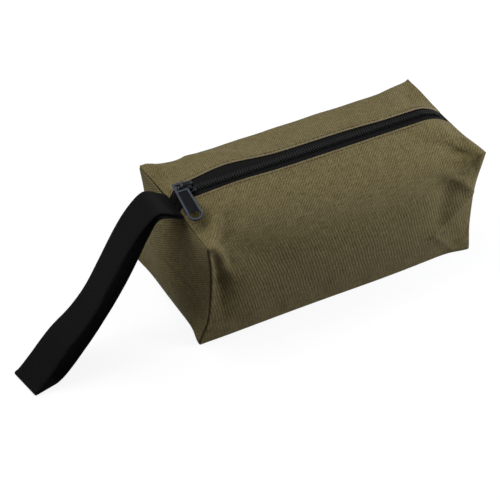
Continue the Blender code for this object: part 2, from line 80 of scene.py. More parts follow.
def make_camera():
    """Back, right and up are worked out from the azimuth and the elevation, then turned by the roll."""
    a, e, roll = CAMERA_AZIMUTH, CAMERA_ELEVATION, CAMERA_ROLL
    back = np.array([math.sin(a) * math.cos(e), -math.cos(a) * math.cos(e), math.sin(e)])
    right = np.array([math.cos(a), math.sin(a), 0])
    up = np.cross(back, right)
    rolled_right = right * math.cos(roll) + up * math.sin(roll)
    rolled_up = up * math.cos(roll) - right * math.sin(roll)
    camera = add_object("camera", bpy.data.cameras.new("camera"))
    stand(camera, rolled_right, rolled_up, back, CAMERA_TARGET + back * CAMERA_DISTANCE)
    camera.data.sensor_width = SENSOR_WIDTH
    camera.data.lens = FOCAL_PIXELS * SENSOR_WIDTH / IMAGE_SIZE
    camera.data.shift_x = 0.5 - PICTURE_CENTRE[0] / IMAGE_SIZE
    camera.data.shift_y = PICTURE_CENTRE[1] / IMAGE_SIZE - 0.5
    bpy.context.scene.camera = camera


make_camera()
bpy.context.scene.view_settings.view_transform = "Standard"


# Light and floor: a large soft lamp overhead and a little behind, a nearer one from the front
# right, a weak one from the left, and a pale floor that looks white and keeps the pouch's shadow.
# Each lamp has its power in watts, its width, where it stands, what it is aimed at and its tint.
LAMPS = (
    ("overhead lamp", 7.6, 0.9, (-0.38, 0.55, 0.93), (0, 0, 0.06), (1, 1, 1)),
    ("front lamp", 4.2, 0.4, (0.57, -0.36, 0.36), (0, 0, 0.05), (0.96, 0.98, 1.08)),
    ("left lamp", 1.3, 0.5, (-0.8, 0.15, 0.6), (-0.1, 0, 0.05), (1, 1, 1)),
)
# A direction that no lamp is aimed along, to lay the lamps' own axes by.
LAMP_AXIS = (0, 1, 0.01)
WORLD_STRENGTH = 0.155
WHITE = (1, 1, 1, 1)
FLOOR_HALF_SIZE = 6.0
FLOOR_DIFFUSE = 0.20
FLOOR_GLOW = 0.86
# The grey that the floor has for the light it throws back on the pouch.
FLOOR_BOUNCE = 0.12


def colour(text):
    """An sRGB hex value as linear red, green, blue and alpha."""
    parts = np.array([int(text[i:i + 2], 16) for i in (1, 3, 5)]) / 255
    linear = np.where(parts <= 0.04045, parts / 12.92, ((parts + 0.055) / 1.055) ** 2.4)
    return (*linear.tolist(), 1.0)


def apply_settings(thing, settings):
    for name, value in settings.items():
        setattr(thing, name, value)


def add_node(tree, kind, inputs=None, stops=(), **settings):
    """A node with its settings, and with each input set to a value or linked from an output.

    A node given as an input stands for its first output.  A ramp's stops are pairs of a position
    and a colour.
    """
    made = tree.nodes.new("ShaderNode" + kind)
    apply_settings(made, settings)
    for number, (position, text) in enumerate(stops):
        made.color_ramp.elements[number].position = position
        made.color_ramp.elements[number].color = colour(text)
    for socket, value in (inputs or {}).items():
        if isinstance(value, bpy.types.Node):
            value = value.outputs[0]
        if isinstance(value, bpy.types.NodeSocket):
            tree.links.new(value, made.inputs[socket])
        else:
            made.inputs[socket].default_value = value
    return made


def build_surface(owner, output, shader):
    """Gives a material or a world the node that a function makes, with add_node bound to its tree."""
    owner.use_nodes = True
    owner.node_tree.nodes.clear()
    add = partial(add_node, owner.node_tree)
    add(output, {"Surface": shader(add)})
    return owner


def new_material(name, shader):
    return build_surface(bpy.data.materials.new(name), "OutputMaterial", shader)


def unit(vectors):
    return vectors / np.maximum(np.linalg.norm(vectors, axis=-1, keepdims=True), 1e-12)


def shown_directly(add):
    """1 for the rays that show the white background: camera, glossy and transmission rays."""
    rays = add("LightPath")
    seen = rays.outputs["Is Camera Ray"]
    for kind in ("Is Glossy Ray", "Is Transmission Ray"):
        seen = add("Math", {0: seen, 1: rays.outputs[kind]}, operation="MAXIMUM")
    return seen


def paper(add):
    """White where it is seen directly, apart from the pouch's shadow, and a grey for other light."""
    matt = add("BsdfDiffuse", {"Color": (FLOOR_DIFFUSE,) * 3 + (1,)})
    glow = add("Emission", {"Color": WHITE, "Strength": FLOOR_GLOW})
    both = add("AddShader", {0: matt, 1: glow})
    grey = add("BsdfDiffuse", {"Color": (FLOOR_BOUNCE,) * 3 + (1,)})
    return add("MixShader", {0: shown_directly(add), 1: grey, 2: both})


def studio(add):
    """An even glow, weak on the pouch and white where it is seen directly."""
    strength = add("MapRange", {"Value": shown_directly(add), "To Min": WORLD_STRENGTH})
    return add("Background", {"Color": WHITE, "Strength": strength})


def make_stage():
    for name, power, width, place, target, tint in LAMPS:
        lamp = bpy.data.lights.new(name, "AREA")
        apply_settings(lamp, {"energy": power, "shape": "DISK", "size": width, "color": tint})
        away = unit(np.subtract(place, target))
        side = unit(np.cross(LAMP_AXIS, away))
        stand(add_object(name, lamp), side, np.cross(away, side), away, place)
    world = bpy.data.worlds.new("studio")
    bpy.context.scene.world = build_surface(world, "OutputWorld", studio)
    mesh = bpy.data.meshes.new("floor")
    half = FLOOR_HALF_SIZE
    mesh.from_pydata([(-half, -half, 0), (half, -half, 0), (half, half, 0), (-half, half, 0)],
                     [], [(0, 1, 2, 3)])
    mesh.materials.append(new_material("matt white paper sweep", paper))
    floor = add_object("floor", mesh)


make_stage()


# Body panel: one length of olive oxford cloth wrapped round the pouch, with a hem folded under at
# each side of the zip.  It is stuffed, so it rolls over the long top edges, and it is drawn out to
# pointed ears at the end seams, where its edges turn inwards.  Pairs are for the left and right end.
HALF_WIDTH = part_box("end_panel_left")[1].y
PANEL_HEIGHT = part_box("end_panel_left")[1].z
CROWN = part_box("body_panel")[1].z
BODY_HALF_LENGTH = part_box("body_panel")[1].x
DOME_RISE = CROWN - PANEL_HEIGHT
ROOF_POWER = 1.15
LEVEL_HALF_WIDTH = 4.9 * MM
NEAR_FOLD = 7.8 * MM
NEAR_FOLD_BOW = 1.4 * MM
FAR_FOLD = 5.6 * MM
FAR_FOLD_STEP = 2.9 * MM
FAR_FOLD_BOW = 4.5 * MM
FAR_STEP_X = 46 * MM
FOLD_BOW_X = -68 * MM
FOLD_BOW_LENGTH = 24 * MM
HEM_LIFT = 1.6 * MM
HEM_LIFT_LENGTH = 30 * MM
COIL_EDGE = 3.4 * MM
LIFT_FADE = 22 * MM
SIDE_BULGE = 2.5 * MM
BASE_BOW = 1.4 * MM
BASE_BOW_X = 45 * MM
BASE_BOW_LENGTH = 55 * MM
CORNER_DROP = 1.0 * MM
EAR_REACH = 18 * MM
NEAR_ROLL = 30 * MM
FAR_ROLL = 6 * MM
ROLL_SPREADS = (17 * MM, 15 * MM)
SEAM_PULLS = (3.5 * MM, 2.0 * MM)
BASE_PULL = 0.3 * MM
PULL_REACH = 25 * MM
PINCH_REACH = 11 * MM
PINCH_INWARD_SHARE = 0.5
BASE_CORNER_MIDDLE = 2.0 * MM
BASE_CORNER_END = 1.0 * MM
ZIP_DROPS = (4 * MM, 25 * MM)
CORNER_DROP_LENGTH = 48 * MM
CLOTH_THICKNESS = 0.5 * MM
HEM_RADIUS = 0.65 * MM
HEM_WIDTH = 4.5 * MM
SEAM_RADIUS = 0.85 * MM
SEAM_X = BODY_HALF_LENGTH + 0.3 * MM
HEM_STEPS = 6
FLAP_STEPS = 40
SIDE_STEPS = 70
CORNER_STEPS = 5
BASE_STEPS = 18
SEAM_STEPS = 5
# Lines at each seam that get painted shade, and the hem row from which the painted highlight along its
# fold starts.
PAINTED_SHADE_STEPS = 2
FOLD_HIGHLIGHT_FROM_STEP = 4
BODY_COLUMNS = 180
MIDDLE_DENSITY = 0.55
FOLD_FADE = 2.2 * MM
FOLD_ROUNDNESS = 1.2
CREASE_ROUNDNESS = 0.2
FOLD_STEEPNESS = 3
DRIFT_DEPTH = 0.35 * MM
DRIFT_WAVES = 6
DRIFT_SHORTEST = 26 * MM
DRIFT_LENGTHENING = 9 * MM
DRIFT_FIRST_ANGLE = 0.7
DRIFT_TURN = 2.4
DRIFT_PHASE = 1.7
SETTLE_STEP = 4
SETTLE_FRAMES = 14
SETTLE_SETTINGS = {
    "quality": 6, "vertex_group_mass": "held", "shrink_min": -0.006, "shrink_max": -0.006,
    "bending_stiffness": 10, "use_pressure": True, "uniform_pressure_force": 3.0,
}
SETTLE_HELD_WIDTH = 5 * MM
SETTLE_LIMIT = 1.2 * MM

# Folds on the flat cloth, near side and far side: from where to where, in millimetres from the
# middle and from the fold at the zip, then half widths and depths at both ends.  A negative depth
# is a ridge.
NEAR_FOLDS = (
    ((-107, 18), (-86, 9), (5, 4), (3.4, 1.8)),
    ((-113, 38), (-86, 8), (3.5, 3.5), (-1.0, -0.6)),
    ((-87, 15), (-105, 29), (3.5, 3.5), (-1.2, -1.4)),
    ((-90, 22), (-95, 34), (5, 6), (3.2, 3.4)),
    ((-97, 36), (-97, 54), (6, 6), (2.8, 3.6)),
    ((-108, 40), (-98, 64), (3.5, 4), (-1.4, -1.0)),
    ((-111, 48), (-106, 70), (4, 5), (1.8, 2.4)),
    ((-106, 70), (-103, 104), (6, 8), (2.4, 1.4)),
    ((-84, 50), (-58, 64), (13, 18), (3.4, 2.4)),
    ((-60, 84), (30, 78), (12, 16), (-0.8, -0.6)),
    ((76, 15), (98, 29), (9, 7), (1.6, 3.4)),
    ((101, 33), (106, 48), (6, 5), (2.4, 1.0)),
    ((94, 10), (108, 23), (6, 5), (-1.4, -2.0)),
    ((109, 27), (111, 50), (5, 4), (-1.6, -1.2)),
    ((86, 46), (106, 62), (5, 4), (-2.2, -2.4)),
    ((84, 58), (82, 84), (10, 9), (3.4, 2.5)),
    ((78, 97), (105, 128), (3, 3), (-0.8, -1.0)),
    ((31, 40), (33, 64), (6, 8), (0.8, 0.5)),
    ((-40, 104), (30, 98), (22, 22), (0.8, 0.4)),
)
FAR_FOLDS = (
    ((106, 36), (102, 24), (6, 8), (0.8, 2.6)),
    ((102, 24), (94, 6), (8, 8), (2.6, 2.2)),
    ((-109, 40), (-97, 25), (4, 5), (-1.0, -1.0)),
    ((-92, 34), (-104, 42), (7, 3), (2.0, 0.5)),
    ((-112, 26), (-104, 10), (6, 6), (2.4, 1.0)),
    ((-84, 32), (-48, 11), (6, 6), (-1.8, -1.2)),
    ((-110, 50), (-100, 80), (5, 8), (3.5, 2.0)),
    ((108, 52), (92, 84), (6, 9), (3.5, 2.0)),
    ((88, 60), (40, 76), (14, 18), (3.0, 1.2)),
    ((-30, 96), (-84, 112), (16, 12), (1.4, 1.8)),
    ((-74, 56), (-30, 68), (14, 20), (2.4, 1.2)),
)

# A sharp crease of the near side, where the filling pushes the cloth out under the right ear.
NEAR_CREASES = (
    ((112, 67), (76, 96), (7, 7), (-2.9, -1.9)),
)

# Where tight seams pinch the upright corners: end, side, height, half width and depth, mm.
PINCHES = (
    (1, -1, 56, 22, 0.8), (-1, -1, 52, 24, 3.0), (1, 1, 55, 18, 2.0), (-1, 1, 50, 18, 1.6),
)

# How far each corner is drawn out, along, across and up: end, side, top or base, millimetres, and
# how far that reaches.
EARS = (
    ((-1, -1, 1), (2.1, 2.0, 3.3), 14), ((-1, 1, 1), (1.3, 0.2, 0.0), 14),
    ((1, -1, 1), (1.6, 1.2, 2.9), 21), ((1, 1, 1), (1.7, 0.8, -2.8), 12),
    ((1, 1, 1), (0, 0.4, 2.6), 32),
    ((-1, -1, 0), (3.8, -0.6, 0), 14), ((-1, 1, 0), (2.0, 1.5, 0), 14),
    ((1, -1, 0), (-0.7, 3.6, 0), 14), ((1, 1, 0), (1.5, 1.5, 0), 14),
)


def bell(place, middle, reach):
    """A smooth hump: exp of minus the squared distance from its middle, in reaches."""
    return np.exp(-((place - middle) / reach) ** 2)


def fold_line(x, side):
    """How far from the middle the hem's fold lies.

    Both folds bow to the far side where the full zip slackens, as a bell.  The far one also comes
    in towards the right end, by a tanh step.
    """
    bow = bell(x, FOLD_BOW_X, FOLD_BOW_LENGTH)
    if side < 0:
        return NEAR_FOLD - NEAR_FOLD_BOW * bow
    step = 0.5 - 0.5 * np.tanh((x - FAR_STEP_X) / EAR_REACH)
    return FAR_FOLD + FAR_FOLD_STEP * step + FAR_FOLD_BOW * bow


def ends_distance(x):
    return np.maximum(BODY_HALF_LENGTH - np.abs(x), 0)


def ear_softness(x):
    """0 at the end seams and 1 in the middle: one less the decay with the distance from the seam."""
    return 1 - np.exp(-ends_distance(x) / EAR_REACH)


def top_height(x, y):
    """The cloth's height over the top: a low roof that falls to the seams at both ends.

    On the far side the hem is lifted where it bows: from nothing at the coil to a hump at the fold,
    which fades again outwards.
    """
    across = np.abs(y) / HALF_WIDTH
    level = LEVEL_HALF_WIDTH / HALF_WIDTH
    outward = np.clip((across - level) / (1 - level), 0, 1)
    at_zip = np.where(x < 0, *ZIP_DROPS)
    drop = at_zip + (CORNER_DROP_LENGTH - at_zip) * outward
    risen = 1 - np.clip(1 - ends_distance(x) / drop, 0, 1) ** 2
    roof = DOME_RISE * risen * (1 - outward ** ROOF_POWER)
    fold = fold_line(x, 1)
    rise = np.clip((y - COIL_EDGE) / (fold - COIL_EDGE), 0, 1)
    fall = bell(np.maximum(y - fold, 0), 0, LIFT_FADE)
    lift = HEM_LIFT * bell(x, FOLD_BOW_X, HEM_LIFT_LENGTH) * rise ** 2 * (3 - 2 * rise) * fall
    return PANEL_HEIGHT + roof + lift - CORNER_DROP * ear_softness(x) * across ** 4


def seam_pull(end, across, up):
    """How far the end seam is drawn in: most in the middle of the upright edges."""
    upright = across ** 2 * (1 - up ** 2)
    base = (1 - across ** 2) * ((1 - up) / 2) ** 2
    return np.where(end < 0, *SEAM_PULLS) * upright + BASE_PULL * base


def shape_corners(points):
    """Pinches the upright seams towards the middle and draws the eight corners out to ears.

    A pinch is a bell over the height that fades along X, and moves a share of its depth along X.
    An ear is a bell round its corner.
    """
    x, y, z = np.moveaxis(points, 2, 0)
    side_x, side_y = np.sign(x), np.sign(y)
    near_end = np.exp(-ends_distance(x) / PINCH_REACH)
    outer = np.clip(np.abs(y) / HALF_WIDTH, 0, 1) ** 4
    pinch = np.zeros_like(x)
    for end, side, height, width, depth in PINCHES:
        here = (side_x == end) * (side_y == side)
        pinch += depth * MM * bell(z, height * MM, width * MM) * here
    moved = points.copy()
    moved[..., 1] -= side_y * pinch * near_end * outer
    moved[..., 0] -= side_x * pinch * near_end * outer * PINCH_INWARD_SHARE
    for (end, side, upper), out, reach in EARS:
        corner = np.array([end * SEAM_X, side * HALF_WIDTH, upper * PANEL_HEIGHT])
        near = bell(np.linalg.norm(points - corner, axis=2), 0, reach * MM)
        moved += np.array(out) * (end, side, 1) * MM * near[..., None]
    return moved


def roll_corner(out, height, corner, reach):
    """Turns the corner of each section into a parabola, from a reach before it to a reach past it."""
    step = np.hypot(np.diff(out, axis=1), np.diff(height, axis=1))
    run = np.concatenate([np.zeros_like(step[:, :1]), np.cumsum(step, axis=1)], axis=1)
    run = run - run[:, corner:corner + 1]
    reach = np.maximum(reach, 1e-9)
    share = np.clip((run + reach) / (2 * reach), 0, 1)
    rolled = []
    for line in (out, height):
        start, end = (np.array([np.interp(place, places, values) for place, places, values
                                in zip(side * reach[:, 0], run, line)])[:, None]
                      for side in (-1, 1))
        parabola = ((1 - share) ** 2 * start + 2 * share * (1 - share) * line[:, corner, None]
                    + share ** 2 * end)
        rolled.append(np.where(np.abs(run) < reach, parabola, line))
    return rolled


def half_section(x, side, roll):
    """Half of each section, as distance out and height: hem, flap, side and base corner.

    The hem is a flat strip under the flap and a half circle round the fold.  The flap follows
    top_height, the side is a parabola that bulges, and the base corner is a quarter circle.
    """
    soft = ear_softness(x)
    fold = fold_line(x, side)
    turn = np.radians(np.linspace(270, 90, HEM_STEPS + 1))
    hem_out = np.concatenate([fold + HEM_WIDTH, fold + HEM_RADIUS * (1 + np.cos(turn))], axis=1)
    depth = np.append(2 * HEM_RADIUS, HEM_RADIUS * (1 - np.sin(turn)))
    hem_height = top_height(x, side * hem_out) - depth

    start = fold + HEM_RADIUS
    flat = start + (HALF_WIDTH - start) * np.linspace(0, 1, FLAP_STEPS + 1)[1:]
    flap_height = top_height(x, side * flat)
    flap_out = flat - CORNER_DROP * soft * (flat / HALF_WIDTH) ** 4

    corner = BASE_CORNER_END + (BASE_CORNER_MIDDLE - BASE_CORNER_END) * soft
    lowest = 2 * corner / PANEL_HEIGHT - 1
    up = 1 - (1 - lowest) * np.linspace(0, 1, SIDE_STEPS + 1)[1:]
    upper = np.maximum(up, 0) ** 4
    bow = BASE_BOW * bell(x, BASE_BOW_X, BASE_BOW_LENGTH) if side < 0 else 0
    side_out = HALF_WIDTH + soft * (SIDE_BULGE * (1 - up ** 2) - CORNER_DROP * upper
                                    + bow * ((1 - up) / 2) ** 2)
    side_height = PANEL_HEIGHT / 2 * (1 + up) - CORNER_DROP * soft * upper

    turn = np.linspace(0, math.pi / 2, CORNER_STEPS + 1)[1:]
    base_out = side_out[:, -1:] - corner + corner * np.cos(turn)
    base_height = corner - corner * np.sin(turn)
    out = np.concatenate([flap_out, side_out, base_out], axis=1)
    height = np.concatenate([flap_height, side_height, base_height], axis=1)
    spread = np.where(x < 0, *ROLL_SPREADS)
    rolled = 1 - bell(ends_distance(x), 0, spread)
    out, height = roll_corner(out, height, FLAP_STEPS - 1, roll * rolled)
    return np.concatenate([hem_out, out], axis=1), np.concatenate([hem_height, height], axis=1)


def surface_normals(points):
    """Unit normals of a grid: the cross product of its two running differences."""
    return unit(np.cross(np.gradient(points, axis=1), np.gradient(points, axis=0)))


def fold_depth(along, down, folds, roundness=FOLD_ROUNDNESS):
    """The sum of the folds: each falls off on both sides of its line from a rounded crease.

    Across a fold the depth is exp(r - sqrt(r^2 + s d^2)), with d the distance from its line in half
    widths, r the roundness and s the steepness.  Along it width and depth run from one end's value
    to the other's.
    """
    total = np.zeros(np.broadcast(along, down).shape)
    for start, end, widths, depths in folds:
        start, run = np.array(start) * MM, (np.array(end) - np.array(start)) * MM
        share = np.clip(((along - start[0]) * run[0] + (down - start[1]) * run[1])
                        / (run @ run), 0, 1)
        distance = np.hypot(along - start[0] - share * run[0], down - start[1] - share * run[1])
        across = distance / ((widths[0] + (widths[1] - widths[0]) * share) * MM)
        shape = np.exp(roundness - np.sqrt(roundness ** 2 + FOLD_STEEPNESS * across ** 2))
        total += (depths[0] + (depths[1] - depths[0]) * share) * MM * shape
    return total


def slow_drift(along, down):
    """Slack in the cloth: the mean of some long waves in fixed directions, between -1 and 1."""
    total = np.zeros(np.broadcast(along, down).shape)
    for number in range(DRIFT_WAVES):
        angle = DRIFT_FIRST_ANGLE + DRIFT_TURN * number
        length = DRIFT_SHORTEST + DRIFT_LENGTHENING * number
        place = along * math.cos(angle) + down * math.sin(angle)
        total += np.sin(2 * math.pi * place / length + DRIFT_PHASE * number) / DRIFT_WAVES
    return total


def settle(points, held):
    """Slackens the cloth and lets the filling press it out, held at its hems, seams and floor.

    The grid is thinned, cut a little larger than its place, and run through the cloth simulation.
    How far its points moved, up to a limit, is spread back over the full grid.
    """
    columns, rows = (np.unique(np.append(np.arange(0, n, SETTLE_STEP), n - 1))
                     for n in points.shape[:2])
    thin = points[np.ix_(columns, rows)]
    mesh = bpy.data.meshes.new("settling cloth")
    mesh.from_pydata(thin.reshape(-1, 3).tolist(), [], grid_quads(*thin.shape[:2]).tolist())
    cloth = add_object("settling_cloth", mesh)
    group = cloth.vertex_groups.new(name="held")
    for number, weight in enumerate(held[np.ix_(columns, rows)].ravel().tolist()):
        group.add([number], weight, "REPLACE")
    modifier = cloth.modifiers.new("settling", "CLOTH")
    modifier.point_cache.frame_start = 1
    modifier.point_cache.frame_end = SETTLE_FRAMES
    apply_settings(modifier.settings, SETTLE_SETTINGS)
    modifier.settings.effector_weights.gravity = 0
    for number in range(1, SETTLE_FRAMES + 1):
        bpy.context.scene.frame_set(number)
    settled = cloth.evaluated_get(bpy.context.evaluated_depsgraph_get()).data
    moved = np.reshape([point.co for point in settled.vertices], thin.shape) - thin
    bpy.data.objects.remove(cloth)
    bpy.context.scene.frame_set(1)
    size = np.linalg.norm(moved, axis=2, keepdims=True)
    moved *= SETTLE_LIMIT / (SETTLE_LIMIT + size)
    return points + spread_grid(moved, columns, rows)


def spread_grid(values, columns, rows):
    """Straight-line interpolation of a thinned grid: weights along both sides times the values."""
    weights = [[np.interp(np.arange(kept[-1] + 1), kept, one) for one in np.eye(len(kept))]
               for kept in (columns, rows)]
    return np.einsum("ai,bj,abk->ijk", *weights, values, optimize=True)


def running_length(line):
    steps = np.linalg.norm(np.diff(line, axis=0), axis=1)
    return np.concatenate([[0], np.cumsum(steps)])


def body_surface():
    """The body panel's outer face as a grid, along X and from the near hem round to the far hem."""
    spread = np.linspace(-1, 1, BODY_COLUMNS)
    eased = MIDDLE_DENSITY * np.sin(spread * math.pi / 2) + (1 - MIDDLE_DENSITY) * spread
    x = ((SEAM_X - SEAM_RADIUS) * eased)[:, None]
    near_out, near_height = half_section(x, -1, NEAR_ROLL)
    far_out, far_height = half_section(x, 1, FAR_ROLL)
    base_y = near_out[:, -1:] * np.linspace(-1, 1, BASE_STEPS + 1)[1:-1]
    y = np.concatenate([-near_out, base_y, far_out[:, ::-1]], axis=1)
    z = np.concatenate([near_height, np.zeros_like(base_y), far_height[:, ::-1]], axis=1)
    points = np.stack([np.broadcast_to(x, y.shape), y, z], axis=2)

    arc = running_length(points[BODY_COLUMNS // 2])
    near_run = arc - arc[HEM_STEPS + 1]
    far_run = arc[-2 - HEM_STEPS] - arc
    across = np.clip(y / HALF_WIDTH, -1, 1)
    up = np.clip(2 * z / PANEL_HEIGHT - 1, -1, 1)
    pull = seam_pull(x, across, up) * np.exp(-ends_distance(x) / PULL_REACH)
    points[..., 0] -= np.sign(x) * pull
    points = shape_corners(points)
    from_edge = np.minimum(np.maximum(np.minimum(near_run, far_run), 0), ends_distance(x))
    above_base = points[..., 2] - BASE_CORNER_MIDDLE
    held = 1 - np.clip(np.minimum(from_edge, above_base) / SETTLE_HELD_WIDTH, 0, 1)
    points = settle(points, held)

    depth = (fold_depth(x, near_run, NEAR_FOLDS)
             + fold_depth(x, near_run, NEAR_CREASES, CREASE_ROUNDNESS)
             + fold_depth(x, far_run, FAR_FOLDS)
             + DRIFT_DEPTH * slow_drift(x, arc))
    depth *= 1 - bell(from_edge, 0, FOLD_FADE)
    depth = np.where(points[..., 2] < 2 * BASE_CORNER_MIDDLE, 0, depth)
    points = points - surface_normals(points) * depth[..., None]
    points[..., 2] = np.maximum(points[..., 2], 0)
    return points, np.stack(np.broadcast_arrays(x, arc), axis=2)


def turn_seams(points, cloth):
    """Adds the seam allowance at both ends: a quarter circle that turns into the pouch."""
    turn = np.linspace(0, math.pi / 2, SEAM_STEPS + 1)[1:, None, None]
    normal = surface_normals(points)
    ends = []
    for column, side in ((0, -1), (-1, 1)):
        inward = -normal[column] * np.array([0, 1, 1])
        inward[:HEM_STEPS + 2] = inward[-HEM_STEPS - 2:] = (0, 0, -1)
        inward = unit(inward)
        out = np.array([side, 0, 0])
        turned = (points[column] + out * SEAM_RADIUS * np.sin(turn)
                  + inward * SEAM_RADIUS * (1 - np.cos(turn)))
        run = cloth[column] + np.array([side, 0]) * SEAM_RADIUS * turn
        ends.append((turned, run))
    (left, left_cloth), (right, right_cloth) = ends
    return (np.concatenate([left[::-1], points, right]),
            np.concatenate([left_cloth[::-1], cloth, right_cloth]))


def grid_quads(columns, rows, closed=()):
    """The faces of a grid, with those from its last line back to its first on the closed axes."""
    index = np.arange(columns * rows).reshape(columns, rows)
    for axis in closed:
        index = np.concatenate([index, np.take(index, [0], axis)], axis)
    return np.stack([index[:-1, :-1], index[:-1, 1:], index[1:, 1:], index[1:, :-1]],
                    axis=-1).reshape(-1, 4)


def surface_object(name, points, cloth, material, closed=()):
    """A smooth mesh from a grid of points and the place of each on the flat material."""
    faces = grid_quads(*points.shape[:2], closed)
    mesh = bpy.data.meshes.new(name)
    mesh.from_pydata(points.reshape(-1, 3).tolist(), [], faces.tolist())
    layer = mesh.uv_layers.new(name="flat material")
    layer.data.foreach_set("uv", cloth.reshape(-1, 2)[faces].astype(np.float32).ravel())
    mesh.shade_smooth()
    mesh.materials.append(material)
    return add_object(name, mesh)


def border_steps(count):
    """How many steps each line of a grid lies from the nearer side."""
    return np.minimum(np.arange(count), np.arange(count)[::-1])


def mark_points(piece, shape, name, amount):
    """Stores how much of a mark each point of a grid has: painted highlight, painted shade or upright
    side.
    """
    layer = piece.data.attributes.new(name, "FLOAT", "POINT")
    layer.data.foreach_set("value", np.broadcast_to(amount, shape).astype(np.float32).ravel())


def add_thickness(piece, thickness):
    solid = piece.modifiers.new("cloth thickness", "SOLIDIFY")
    apply_settings(solid, {"thickness": thickness, "offset": -1})


# The cloth's yarns are 0.6 mm apart.  Its twill line repeats every 2.4 mm both ways, coarser than the
# real one, so that it shows.  On the upright sides, where the cloth hangs slack, the warp yarns
# stand out more, as lines that are 2.3 mm apart and lean a little.
YARN_PER_METRE = 1600
# Each kind of line has its lean, its lines in a metre along X and its strength.
TWILL_LINE = (1, 420, 1)
WARP_LINE = (-0.34, 430, 1.15)
# The lines wander by this many radians, over patches of about 13 mm.
LINE_WANDER = 5.5
WANDER_PER_METRE = 75
# The line's height at which warp gives way to weft, both ways from the middle.
LINE_CHANGE = 0.6
# Slubs of warp and weft, in a metre along and across the cloth.
SLUBS_PER_METRE = ((900, 120, 1), (120, 900, 1))
LINE_HEIGHT = 0.35
LINE_TONE = 0.17
YARN_TONE = 0.1
WEAVE_DEPTH = 0.25 * MM
UPRIGHT_FROM = 40 * MM
UPRIGHT_TO = 124 * MM
UPRIGHT_FADE = 22 * MM
# Painted light: the lighter tint is a painted highlight along the hem's fold, the darker one painted
# shade along the seams.
PAINTED_LIGHT_TINTS = (("painted fold highlight", "#928468"), ("painted seam shade", "#443A28"))


def sine_wave(add, place, per_metre):
    """A sine of a place, with so many full waves in a metre."""
    turn = add("Math", {0: place, 1: per_metre * 2 * math.pi}, operation="MULTIPLY")
    return add("Math", {0: turn}, operation="SINE")


def oxford_cloth(add):
    """Olive polyester oxford in a two-over-two twill, coated on its back.

    The eye sees fine slanted lines where warp and weft change places, broken and wavy because the
    yarns are uneven, and a dry surface.  The cloth has painted shade where a seam turns it in, and a
    painted highlight along the hem's fold.
    """
    flat = add("UVMap", uv_map="flat material")
    place = add("SeparateXYZ", {0: flat})
    drift = add("TexNoise", {"Vector": flat, "Scale": WANDER_PER_METRE, "Detail": 4.0},
                noise_dimensions="2D")
    wander = add("Math", {0: drift, 1: LINE_WANDER}, operation="MULTIPLY")
    waves = []
    for lean, per_metre, strength in (TWILL_LINE, WARP_LINE):
        leaning = add("Math", {0: place.outputs["Y"], 1: lean, 2: place.outputs["X"]},
                      operation="MULTIPLY_ADD")
        phase = add("Math", {0: leaning, 1: per_metre * 2 * math.pi, 2: wander},
                    operation="MULTIPLY_ADD")
        wave = add("Math", {0: phase}, operation="SINE")
        waves.append(add("Math", {0: wave, 1: strength}, operation="MULTIPLY"))
    upright = add("Attribute", attribute_name="upright side")
    line = add("Mix", {0: upright.outputs["Fac"], 2: waves[0], 3: waves[1]})
    over = add("MapRange", {"Value": line, "From Min": -LINE_CHANGE, "From Max": LINE_CHANGE})
    profiles = []
    for axis in ("X", "Y"):
        profile = sine_wave(add, place.outputs[axis], YARN_PER_METRE / 2)
        profiles.append(add("Math", {0: profile}, operation="ABSOLUTE"))
    yarn = add("Mix", {0: over, 2: profiles[1], 3: profiles[0]})
    slubs = []
    for stretch in SLUBS_PER_METRE:
        long = add("VectorMath", {0: flat, 1: stretch}, operation="MULTIPLY")
        slubs.append(add("TexNoise", {"Vector": long, "Scale": 1.0, "Detail": 2.0},
                         noise_dimensions="2D"))
    slub = add("Mix", {0: over, 2: slubs[1], 3: slubs[0]})
    lifted = add("Math", {0: line, 1: LINE_HEIGHT, 2: yarn}, operation="MULTIPLY_ADD")
    tone = slub
    for pattern, share in ((line, LINE_TONE), (yarn, YARN_TONE)):
        tone = add("Math", {0: pattern, 1: share, 2: tone}, operation="MULTIPLY_ADD")
    tint = add("ValToRGB", {0: tone}, ((0.15, "#453D26"), (0.95, "#8B7F56")))
    # Mixes in the painted highlight along the hem's fold and the painted shade along the seams.
    for name, painted_tint in PAINTED_LIGHT_TINTS:
        amount = add("Attribute", attribute_name=name)
        tint = add("Mix", {0: amount.outputs["Fac"], 6: tint, 7: colour(painted_tint)},
                   data_type="RGBA").outputs[2]
    bump = add("Bump", {"Height": lifted, "Strength": 0.7, "Distance": WEAVE_DEPTH})
    return add("BsdfPrincipled", {"Base Color": tint, "Roughness": 0.8, "Specular IOR Level": 0.12,
                                  "Sheen Weight": 0.03, "Sheen Roughness": 0.4, "Normal": bump})


OLIVE_OXFORD = new_material("olive polyester oxford, twill woven", oxford_cloth)


def make_body_cloth():
    """The body panel with its seams turned in, and marks for painted light and the upright sides."""
    points, cloth = turn_seams(*body_surface())
    piece = surface_object("body_cloth", points, cloth, OLIVE_OXFORD)
    shape = points.shape[:2]
    from_seam, from_hem = border_steps(shape[0])[:, None], border_steps(shape[1])
    # The rows round the hem's fold get a painted highlight, the lines at each seam painted shade.
    folded = (from_hem >= FOLD_HIGHLIGHT_FROM_STEP) & (from_hem <= HEM_STEPS)
    mark_points(piece, shape, "painted fold highlight", folded)
    mark_points(piece, shape, "painted seam shade", from_seam < PAINTED_SHADE_STEPS)
    arc = cloth[..., 1] - cloth[0, HEM_STEPS + 1, 1]
    from_zip = np.minimum(arc, cloth[0, -2 - HEM_STEPS, 1] - cloth[0, HEM_STEPS + 1, 1] - arc)
    inside = np.minimum(from_zip - UPRIGHT_FROM, UPRIGHT_TO - from_zip)
    mark_points(piece, shape, "upright side", np.clip(inside / UPRIGHT_FADE, 0, 1))
    add_thickness(piece, CLOTH_THICKNESS)
    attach(piece, "pouch")
    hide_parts("body_panel")


